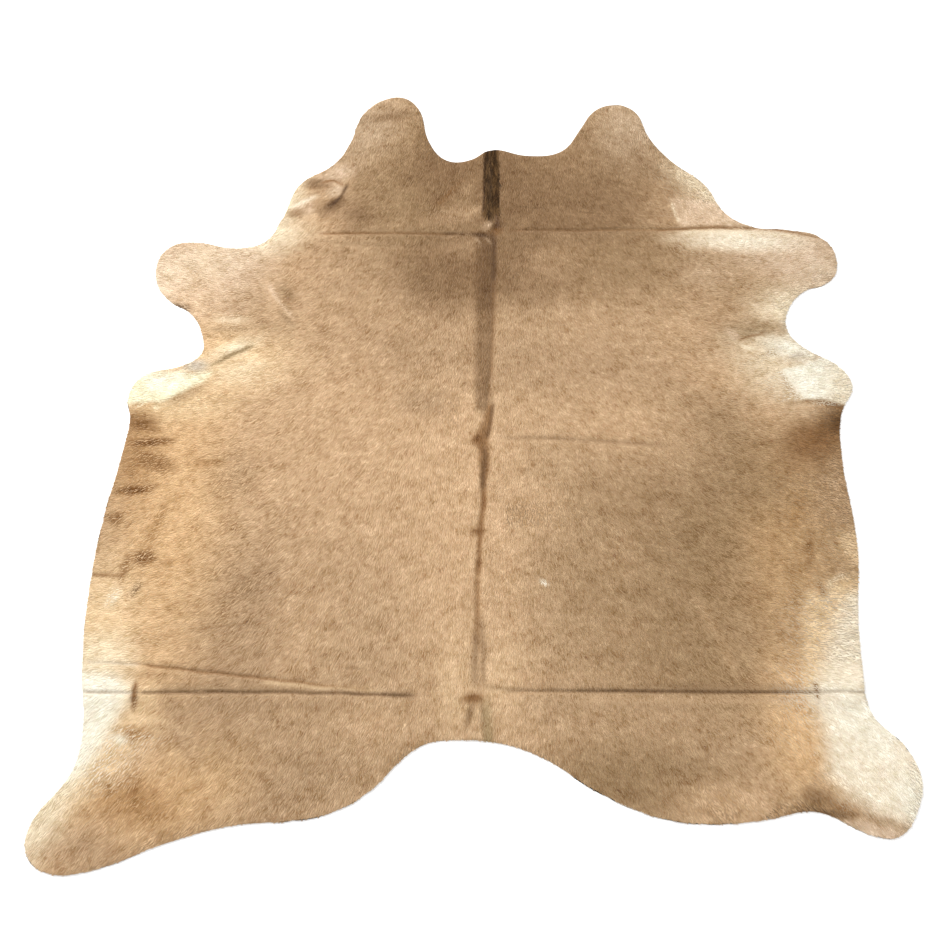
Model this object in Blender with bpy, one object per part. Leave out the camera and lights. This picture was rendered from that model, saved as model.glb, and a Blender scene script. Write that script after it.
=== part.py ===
"""A hair-on cowhide rug: one whole hide, tanned with its coat on and laid flat with the coat up.

Metres, +Z up. The neck points to +Y and the tail to -Y. The origin is under the middle of the hide's
box, on the floor, so the flesh side lies at z = 0 except where a fold lifts it.
"""

import math

import bmesh
import bpy
from mathutils import Vector
from mathutils.geometry import delaunay_2d_cdt, intersect_point_line

LEATHER = 0.0025
COAT = 0.0025

# The cut edge, clockwise from the crest of the neck: each stretch with its (across, along) marks.
EDGE = {
    "crest": ((0.035, 0.895),),
    "right neck notch": ((0.145, 0.875), (0.245, 0.890)),
    "right neck flap": ((0.305, 0.975), (0.355, 1.050), (0.420, 1.070), (0.475, 1.045), (0.510, 0.945)),
    "right neck side": ((0.570, 0.855), (0.665, 0.765), (0.705, 0.675), (0.760, 0.625)),
    "right foreleg": ((0.890, 0.605), (0.980, 0.575), (1.010, 0.490), (0.980, 0.430), (0.905, 0.400)),
    "right armpit": ((0.850, 0.335), (0.840, 0.275), (0.875, 0.225)),
    "right elbow": ((0.975, 0.155), (0.995, 0.100), (0.955, 0.030)),
    "right flank": ((0.935, -0.115), (0.940, -0.290), (0.935, -0.385), (0.915, -0.505), (0.905, -0.635)),
    "right hind leg": (
        (0.910, -0.755), (0.965, -0.815), (1.000, -0.890), (0.980, -0.965), (0.925, -1.025), (0.870, -1.020),
    ),
    "right rump": (
        (0.750, -0.970), (0.645, -0.985), (0.485, -0.995), (0.375, -0.975), (0.260, -0.925), (0.145, -0.855),
    ),
    "tail": ((0.060, -0.825), (-0.070, -0.815)),
    "left rump": ((-0.130, -0.825), (-0.260, -0.935), (-0.340, -0.975), (-0.435, -0.990), (-0.555, -1.000)),
    "left hind leg": (
        (-0.705, -1.040), (-0.845, -1.090), (-0.935, -1.100), (-0.995, -1.065), (-1.005, -1.010),
        (-0.925, -0.880), (-0.915, -0.800),
    ),
    "left flank": ((-0.940, -0.640), (-0.950, -0.475), (-0.945, -0.295), (-0.920, -0.075), (-0.915, 0.010)),
    "left elbow": ((-0.930, 0.070), (-0.900, 0.135), (-0.800, 0.165)),
    "left armpit": ((-0.750, 0.200), (-0.755, 0.265)),
    "left foreleg": ((-0.795, 0.330), (-0.865, 0.375), (-0.905, 0.465), (-0.875, 0.550), (-0.795, 0.565)),
    "left neck side": ((-0.695, 0.545), (-0.610, 0.565), (-0.565, 0.645), (-0.525, 0.765), (-0.420, 0.850)),
    "left neck flap": (
        (-0.380, 0.930), (-0.350, 1.030), (-0.295, 1.085), (-0.230, 1.100), (-0.180, 1.055), (-0.145, 0.925),
    ),
    "left neck notch": ((-0.090, 0.855), (-0.020, 0.860)),
}

# What folding for transport and the animal's own joints left in the hide. half_width is from the middle
# of a trough to its raised shoulder, or the width of one side of a ridge.
FOLD_COLUMNS = ("name", "form", "height", "half_width", "line")
FOLDS = (
    ("spine", "trough", 0.006, 0.020,
     ((0.035, 0.935), (0.025, 0.590), (0.010, -0.060), (0.000, -0.330), (-0.010, -0.580), (0.015, -0.845))),
    ("left shoulder crease", "trough", 0.004, 0.014, ((-0.430, 0.590), (-0.225, 0.590), (0.010, 0.585))),
    ("right shoulder crease", "trough", 0.005, 0.014,
     ((0.060, 0.605), (0.575, 0.605), (0.800, 0.595), (1.040, 0.555))),
    ("right waist crease", "trough", 0.003, 0.014, ((0.055, -0.040), (0.285, -0.055), (0.500, -0.070))),
    ("left hip crease", "trough", 0.005, 0.014,
     ((-0.980, -0.710), (-0.795, -0.710), (-0.375, -0.705), (-0.140, -0.715))),
    ("left hip second crease", "trough", 0.004, 0.012, ((-0.875, -0.635), (-0.540, -0.665), (-0.190, -0.700))),
    ("right hip crease", "trough", 0.006, 0.014, ((0.045, -0.705), (0.515, -0.705), (0.950, -0.705))),
    ("left neck pucker", "ridge", 0.006, 0.020, ((-0.530, 0.755), (-0.450, 0.770), (-0.380, 0.775))),
    ("left neck second pucker", "ridge", 0.005, 0.020, ((-0.380, 0.765), (-0.420, 0.705), (-0.470, 0.655))),
    ("left shoulder wrinkle", "ridge", 0.005, 0.018, ((-0.600, 0.480), (-0.545, 0.375), (-0.485, 0.255))),
    ("left armpit wrinkle", "ridge", 0.006, 0.020, ((-0.600, 0.230), (-0.675, 0.195), (-0.740, 0.160))),
    ("right armpit wrinkle", "ridge", 0.006, 0.020, ((0.640, 0.235), (0.750, 0.275), (0.830, 0.285))),
)

REACH = 3.2          # a fold dies out this many half-widths from its middle
FADE = 0.07          # length over which a fold rises from each of its ends
CURVE_STEPS = 24     # points between two marks before a line is spaced out
RIM_STEP = 0.022
CREASED_RIM_STEP = 0.009
FOLD_LINE_STEP = 0.013
FOLD_STEP = 0.040    # between the stations along a fold
FOLD_ROWS = (0, 1, 2, REACH)   # half-widths out from a fold's middle, on both sides
FILL_STEP = 0.060
CLEAR_OF_FOLD = 0.010
CLEAR_OF_FILL = 0.036
MERGE = 1e-6

HAIR_COLOUR = (0.50, 0.32, 0.19, 1.0)
HAIR_ROUGHNESS = 0.8
SMOOTH_UP_TO = math.radians(35)


def clear_scene():
    """Leaves the file without objects."""
    for thing in list(bpy.data.objects):
        bpy.data.objects.remove(thing)


def smooth_line(marks, closed):
    """The points of a smooth curve through the marks, in order, close together."""
    curve = bpy.data.curves.new("guide", "CURVE")
    curve.resolution_u = CURVE_STEPS
    spline = curve.splines.new("BEZIER")
    spline.use_cyclic_u = closed
    spline.bezier_points.add(len(marks) - 1)
    for point, (across, along) in zip(spline.bezier_points, marks):
        point.co = (across, along, 0)
        point.handle_left_type = "AUTO"
        point.handle_right_type = "AUTO"
    guide = bpy.data.objects.new("guide", curve)
    bpy.context.scene.collection.objects.link(guide)
    bpy.context.view_layer.update()
    traced = guide.to_mesh()
    points = [vertex.co.to_2d() for vertex in traced.vertices]
    guide.to_mesh_clear()
    bpy.data.objects.remove(guide)
    bpy.data.curves.remove(curve)
    return points


def spaced(points, step_at):
    """Thins a dense line out, to about step_at(point) between the points that stay."""
    kept = [points[0]]
    gone = 0.0
    for before, point in zip(points, points[1:]):
        gone += (point - before).length
        if gone >= step_at(point):
            kept.append(point)
            gone = 0.0
    return kept


def cut_edge():
    """The dense closed line of the cut edge."""
    return smooth_line([mark for stretch in EDGE.values() for mark in stretch], closed=True)


def fold_rows():
    """The table's folds as dicts, each with its marks drawn out to a smooth line."""
    rows = []
    for values in FOLDS:
        fold = dict(zip(FOLD_COLUMNS, values))
        fold["line"] = spaced(smooth_line(fold["line"], closed=False), lambda point: FOLD_LINE_STEP)
        rows.append(fold)
    return rows


def fall(share):
    """A soft slope from 1 down to 0 as share goes from 0 to 1."""
    share = min(max(share, 0.0), 1.0)
    return (1 - share) ** 2 * (1 + 2 * share)


def across_trough(widths):
    """Height share of a trough: none in its bottom, all on its shoulder one half-width out."""
    if widths < 1:
        return widths * (2 - widths)
    return fall((widths - 1) / (REACH - 1))


def across_ridge(widths):
    """Height share of a ridge with a tight crest."""
    return fall(widths / REACH) ** 2


ACROSS = {"trough": across_trough, "ridge": across_ridge}


def place_on(line, spot):
    """The distance from a spot to a line, and the nearer end's distance along it."""
    nearest, walked, place = math.inf, 0.0, 0.0
    for start, end in zip(line, line[1:]):
        share = min(max(intersect_point_line(spot, start, end)[1], 0.0), 1.0)
        length = (end - start).length
        gap = (start.lerp(end, share) - spot).length
        if gap < nearest:
            nearest, place = gap, walked + share * length
        walked += length
    return nearest, min(place, walked - place)


def lift_at(spot, folds):
    """How far the folds raise the hide off the floor at a spot."""
    lift = 0.0
    for fold in folds:
        gap, from_end = place_on(fold["line"], spot)
        widths = gap / fold["half_width"]
        if widths < REACH:
            shape = ACROSS[fold["form"]](widths) * (1 - fall(from_end / FADE))
            lift = max(lift, fold["height"] * shape)
    return lift


def fold_points(folds):
    """Points in rows along each fold: the middles first, then the rows on both sides, working outwards."""
    points = []
    for widths in FOLD_ROWS:
        for fold in folds:
            stations = spaced(fold["line"], lambda point: FOLD_STEP)
            for before, after in zip(stations, stations[1:]):
                sideways = (after - before).orthogonal().normalized() * widths * fold["half_width"]
                points += [before + sideways, before - sideways] if widths else [before]
    return points


def fill_points(rim):
    """An even field of points over the rim's box, each row half a step along from the last."""
    low = Vector((min(spot.x for spot in rim), min(spot.y for spot in rim)))
    high = Vector((max(spot.x for spot in rim), max(spot.y for spot in rim)))
    points = []
    row_gap = FILL_STEP * math.sqrt(3) / 2
    for row in range(int((high.y - low.y) / row_gap)):
        start = low.x + FILL_STEP * (row % 2) / 2
        for column in range(int((high.x - low.x) / FILL_STEP) + 1):
            points.append(Vector((start + column * FILL_STEP, low.y + (row + 0.5) * row_gap)))
    return points


def add_clear(spots, points, gap):
    """Adds the points that keep the gap to every spot before them."""
    for point in points:
        if all((point - spot).length >= gap for spot in spots):
            spots.append(point)


def hide_mesh():
    """The whole hide: its flesh side on the floor, its coat side one thickness above, and the cut rim."""
    folds = fold_rows()
    rim = spaced(cut_edge(), lambda spot: CREASED_RIM_STEP if lift_at(spot, folds) > 0 else RIM_STEP)
    if (rim[-1] - rim[0]).length < CREASED_RIM_STEP:
        rim.pop()
    spots = list(rim)
    add_clear(spots, fold_points(folds), CLEAR_OF_FOLD)
    add_clear(spots, fill_points(rim), CLEAR_OF_FILL)
    inside = 1
    spots, _, faces, *_ = delaunay_2d_cdt(spots, [], [list(range(len(rim)))], inside, MERGE)

    shape = bmesh.new()
    corners = [shape.verts.new((spot.x, spot.y, lift_at(spot, folds))) for spot in spots]
    flesh = [shape.faces.new([corners[index] for index in face]) for face in faces]
    loose = [corner for corner in shape.verts if not corner.link_faces]
    bmesh.ops.delete(shape, geom=loose, context="VERTS")
    raised = bmesh.ops.extrude_face_region(shape, geom=flesh, use_keep_orig=True)["geom"]
    coat = [part for part in raised if isinstance(part, bmesh.types.BMVert)]
    bmesh.ops.translate(shape, verts=coat, vec=(0, 0, LEATHER + COAT))
    bmesh.ops.recalc_face_normals(shape, faces=shape.faces)
    bmesh.ops.translate(shape, verts=shape.verts, vec=to_middle(shape))
    mesh = bpy.data.meshes.new("hide")
    shape.to_mesh(mesh)
    shape.free()
    return mesh


def to_middle(shape):
    """The level shift that brings the middle of the shape's box over the origin."""
    across = [corner.co.x for corner in shape.verts]
    along = [corner.co.y for corner in shape.verts]
    return Vector((-(min(across) + max(across)) / 2, -(min(along) + max(along)) / 2, 0))


def coat_material():
    """The plain beige of the coat."""
    material = bpy.data.materials.new("hair-on cowhide")
    material.use_nodes = True
    shader = material.node_tree.nodes["Principled BSDF"]
    shader.inputs["Base Color"].default_value = HAIR_COLOUR
    shader.inputs["Roughness"].default_value = HAIR_ROUGHNESS
    shader.inputs["Metallic"].default_value = 0.0
    return material


def build_hide():
    """The rug's one piece."""
    mesh = hide_mesh()
    mesh.shade_smooth()
    mesh.set_sharp_from_angle(angle=SMOOTH_UP_TO)
    mesh.materials.append(coat_material())
    hide = bpy.data.objects.new("hide", mesh)
    bpy.context.scene.collection.objects.link(hide)


clear_scene()
build_hide()
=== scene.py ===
"""The looks of a hair-on cowhide rug: the leather pressed into its folds, the short coat that lies on it
in four strips of hair locks, and the dark tuft on the crest of the neck.

Metres and degrees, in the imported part's frame: the neck points to +Y, and +X is right as seen from the tail.
"""

import math

import bmesh
import bpy
import numpy as np
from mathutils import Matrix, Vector, noise
from mathutils.bvhtree import BVHTree


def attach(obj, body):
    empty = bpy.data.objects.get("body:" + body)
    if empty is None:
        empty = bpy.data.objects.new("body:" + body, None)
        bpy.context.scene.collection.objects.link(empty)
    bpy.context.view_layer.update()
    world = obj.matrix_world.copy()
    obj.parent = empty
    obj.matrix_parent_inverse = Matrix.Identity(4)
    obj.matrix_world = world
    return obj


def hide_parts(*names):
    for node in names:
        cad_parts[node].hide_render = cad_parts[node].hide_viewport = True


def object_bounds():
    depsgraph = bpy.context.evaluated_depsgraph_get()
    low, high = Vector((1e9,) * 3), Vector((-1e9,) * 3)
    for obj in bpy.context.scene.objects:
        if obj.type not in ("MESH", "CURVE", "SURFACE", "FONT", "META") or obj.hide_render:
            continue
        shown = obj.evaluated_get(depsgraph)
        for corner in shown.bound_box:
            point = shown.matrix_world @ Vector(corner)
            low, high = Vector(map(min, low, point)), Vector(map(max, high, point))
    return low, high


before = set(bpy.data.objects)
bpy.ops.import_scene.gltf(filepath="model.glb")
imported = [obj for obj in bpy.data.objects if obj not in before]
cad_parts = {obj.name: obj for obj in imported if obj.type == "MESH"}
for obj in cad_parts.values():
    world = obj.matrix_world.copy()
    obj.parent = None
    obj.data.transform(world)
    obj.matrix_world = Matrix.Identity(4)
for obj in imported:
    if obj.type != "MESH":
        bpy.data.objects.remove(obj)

CAD_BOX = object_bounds()
SEED = 11

# The layers of the noise, one for each use. Waves and flecks take the next few as well.
LAYERS = {
    "cockles": 1, "borders": 2, "clumps": 6, "fold heights": 9, "patchy lines": 10, "lines": 14,
    "flecks": 30, "hue": 40, "tuft end": 50, "tuft streaks": 51,
}

# The leather.
LEATHER = 0.0025               # thickness under the hair
RIM_HAIR = 0.002               # how far the hair reaches past the cut leather
REFINE = 3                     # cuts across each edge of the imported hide's mesh
RIM_SMOOTHING = 8              # times that each corner of the rim is drawn towards its neighbours' middle
RIM_PULL = 0.5                 # and how far of the way it goes
STEEP = 0.5                    # a face is a wall where its normal rises less than this
LEVEL = 0.7                    # and hair grows where it rises more than this
SHARP_ANGLE = 40
SAME_SPOT = 1e-6
NOISE_LAYER = 7.31             # how far apart two layers of noise lie
COCKLE = 0.0012                # height of the gentle waves that dried into the leather
COCKLE_LENGTH = 0.16

# Folds and creases, in the leather's own sizes. half_width is from the middle of a trough to its raised
# shoulder, or the width of one side of a ridge.
FOLD_COLUMNS = ("name", "form", "height", "half_width", "line")
FOLDS = (
    ("spine", "trough", 0.0035, 0.016,
     ((0.037, 0.935), (0.042, 0.590), (0.038, 0.300), (0.014, -0.060), (0.008, -0.215), (0.000, -0.330),
      (-0.007, -0.580), (0.017, -0.845))),
    ("left shoulder crease", "trough", 0.0035, 0.010, ((-0.450, 0.592), (-0.225, 0.594), (0.010, 0.588))),
    ("right shoulder crease", "trough", 0.0040, 0.011,
     ((0.060, 0.603), (0.575, 0.607), (0.800, 0.609), (0.930, 0.588), (1.040, 0.555))),
    ("right waist crease", "trough", 0.0025, 0.014, ((0.055, -0.045), (0.285, -0.058), (0.500, -0.072))),
    ("left hip crease", "trough", 0.0036, 0.009,
     ((-0.980, -0.705), (-0.795, -0.705), (-0.375, -0.705), (-0.140, -0.713))),
    ("left hip second crease", "trough", 0.0030, 0.009,
     ((-0.950, -0.633), (-0.800, -0.641), (-0.540, -0.668), (-0.190, -0.704))),
    ("right hip crease", "trough", 0.0038, 0.009, ((0.045, -0.703), (0.515, -0.704), (0.950, -0.704))),
    ("left neck pucker", "ridge", 0.006, 0.016, ((-0.540, 0.690), (-0.470, 0.735), (-0.395, 0.768))),
    ("left neck second pucker", "ridge", 0.005, 0.018, ((-0.372, 0.765), (-0.402, 0.700), (-0.470, 0.640))),
    ("left shoulder wrinkle", "ridge", 0.005, 0.015, ((-0.600, 0.448), (-0.560, 0.375), (-0.495, 0.285))),
    ("left armpit wrinkle", "ridge", 0.006, 0.016, ((-0.615, 0.232), (-0.675, 0.210), (-0.745, 0.172))),
    ("right armpit wrinkle", "ridge", 0.006, 0.018, ((0.690, 0.228), (0.760, 0.232), (0.850, 0.215))),
)
REACH = {"trough": 6.0, "ridge": 3.2}   # a fold dies out this many half-widths from its middle
FADE = 0.09                    # length over which a fold rises from each of its ends
UNEVEN = (0.07, 0.5)           # length and depth of the changes in a fold's height
LINE_STEPS = 10                # points from one mark of a line to the next

# The coat.
LOCK_GAP = 0.0044
LOCK_JITTER = 0.45             # share of the gap that a lock may stand off its row
LOCK_LENGTH = (0.008, 0.012)
LOCK_HALF_WIDTH = (0.0013, 0.0019)
LOCK_RIDGE = 0.0008
LOCK_LEAN = (5, 11)
LOCK_TURN = 14                 # degrees that the locks turn off the way the hair grows, in shares:
LOCK_STRAY = 0.6               # each lock by itself
CLUMP_STRAY = 1.6              # and a whole clump together
CLUMP = 0.030
ROOT_DEPTH = 0.0003            # how far a lock's root sits in the leather
TIP_LIFT = 0.0004              # and the least that its tip clears it
ROOM_STEP = 0.001              # step of the search for the leather's end ahead of a lock
RAY_HEIGHT = 1.0               # where the rays that look for the leather start
OVERHANG = (0.4, 1.5)          # share of RIM_HAIR that a lock at the rim reaches past the leather
STRAND_PLACES = 997            # how many places the strands' pattern is read from
STRAND_STEP = (1.37, 0.61)     # and how far apart two of them are
GRAIN = ((0.0045, 0.30), (0.011, 0.38), (0.040, 0.26))   # sizes and depths of the light and dark flecks
GRAIN_CROSSWISE = 1.25         # how much longer the flecks are across the hide than along it
GRAIN_OWN = 0.085              # how much each lock differs from its neighbours
GRAIN_TINT = (0.80, 1.0, 1.30)   # a lighter fleck is paler too
GRAIN_CALM = 1.25              # the linear lightness past which it would have no flecks
CALM_LIMITS = (0.3, 1.0)       # share of the flecks that the palest and the darkest hair keeps
GAIN_LIMITS = (0.4, 1.7)       # the least and the most that a lock's colour is multiplied by
HUE_DRIFT = (0.008, 0.016)     # size and depth of the drift between greener and redder hair
PRESSED = 0.5                  # share of its length that a lock keeps beside a crease
PRESSED_REACH = 0.016
STRIPS = ("coat_left_flank", "coat_left_back", "coat_right_back", "coat_right_flank")
MAP_SIZE = 1.15                # side of the square that a strip's two halves share
MAP_MARGIN = 0.01

# The longer dark hair on the crest of the neck.
TUFT_SPAN = ((0.011, 0.647), (0.058, 0.897))
TUFT_GAP = 0.0032
TUFT_LENGTH = (0.018, 0.032)
TUFT_HALF_WIDTH = (0.0010, 0.0018)
TUFT_RIDGE = 0.0012
TUFT_LEAN = (2, 6)
TUFT_RAGGED = (0.014, 0.014)   # width and depth of the points that it ends in
TUFT_SOFT = 0.009              # how far its left side thins out
TUFT_STREAK = 0.12             # width of a streak's noise for one of its length
TUFT_STREAK_WIDTH = 0.006
TUFT_STREAK_DEPTH = 1.2
TUFT_OWN = 0.2                 # how much each of its locks differs from its neighbours
TUFT_REDNESS = 0.35            # share of the redder colour where no streak is
TUFT_COLOURS = ((58, 40, 22), (120, 90, 58))   # dark and redder hair, in the units of COLOURS

# Which way the hair grows: degrees from straight towards the tail, positive towards the right.
GROWTH_COLUMNS = ("place", "across", "along", "degrees")
GROWTH = (
    ("crest", 0.03, 0.85, 0), ("withers", 0.02, 0.50, 0), ("loin", 0.0, -0.20, 0), ("tail", 0.0, -0.80, 0),
    ("left neck flap", -0.26, 0.98, -10), ("right neck flap", 0.42, 0.98, 10),
    ("left neck side", -0.45, 0.70, -40), ("right neck side", 0.60, 0.72, 40),
    ("left shoulder", -0.30, 0.45, -30), ("right shoulder", 0.35, 0.45, 30),
    ("left foreleg", -0.80, 0.46, -95), ("right foreleg", 0.88, 0.50, 95),
    ("left armpit", -0.68, 0.24, -70), ("right armpit", 0.75, 0.27, 70),
    ("left elbow", -0.84, 0.08, -80), ("right elbow", 0.92, 0.10, 80),
    ("left ribs", -0.35, 0.0, -35), ("right ribs", 0.35, 0.0, 35),
    ("left belly", -0.80, -0.25, -60), ("right belly", 0.82, -0.25, 60),
    ("left flank", -0.86, -0.55, -75), ("right flank", 0.84, -0.55, 75),
    ("left rump", -0.35, -0.75, -20), ("right rump", 0.35, -0.75, 20),
    ("left stifle", -0.72, -0.80, -40), ("right stifle", 0.75, -0.80, 40),
    ("left hind leg", -0.92, -1.0, -35), ("right hind leg", 0.92, -0.95, 35),
)
GROWTH_BLEND = 3.0             # how sharply the nearest place wins
GROWTH_CORE = 0.02             # added to each distance, so that the pull stays finite at the place itself

# The coat's colours, as 8-bit screen values in even light.
COLOURS = {
    "tan": (193, 159, 123),
    "sand": (211, 175, 137),
    "fawn": (176, 143, 109),
    "dun": (158, 127, 92),
    "dusk": (138, 106, 74),
    "bone": (226, 204, 176),
    "ash": (194, 167, 138),
    "amber": (194, 156, 113),
    "honey": (228, 188, 141),
    "rose": (226, 198, 170),
    "straw": (243, 212, 170),
    "cream": (252, 236, 208),
    "ivory": (255, 247, 230),
    "shell": (253, 239, 217),
    "pearl": (252, 243, 212),
    "grey": (206, 190, 170),
    "olive": (160, 134, 96),
    "bay": (160, 114, 66),
    "brown": (124, 82, 42),
    "umber": (74, 46, 20),
}

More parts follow.
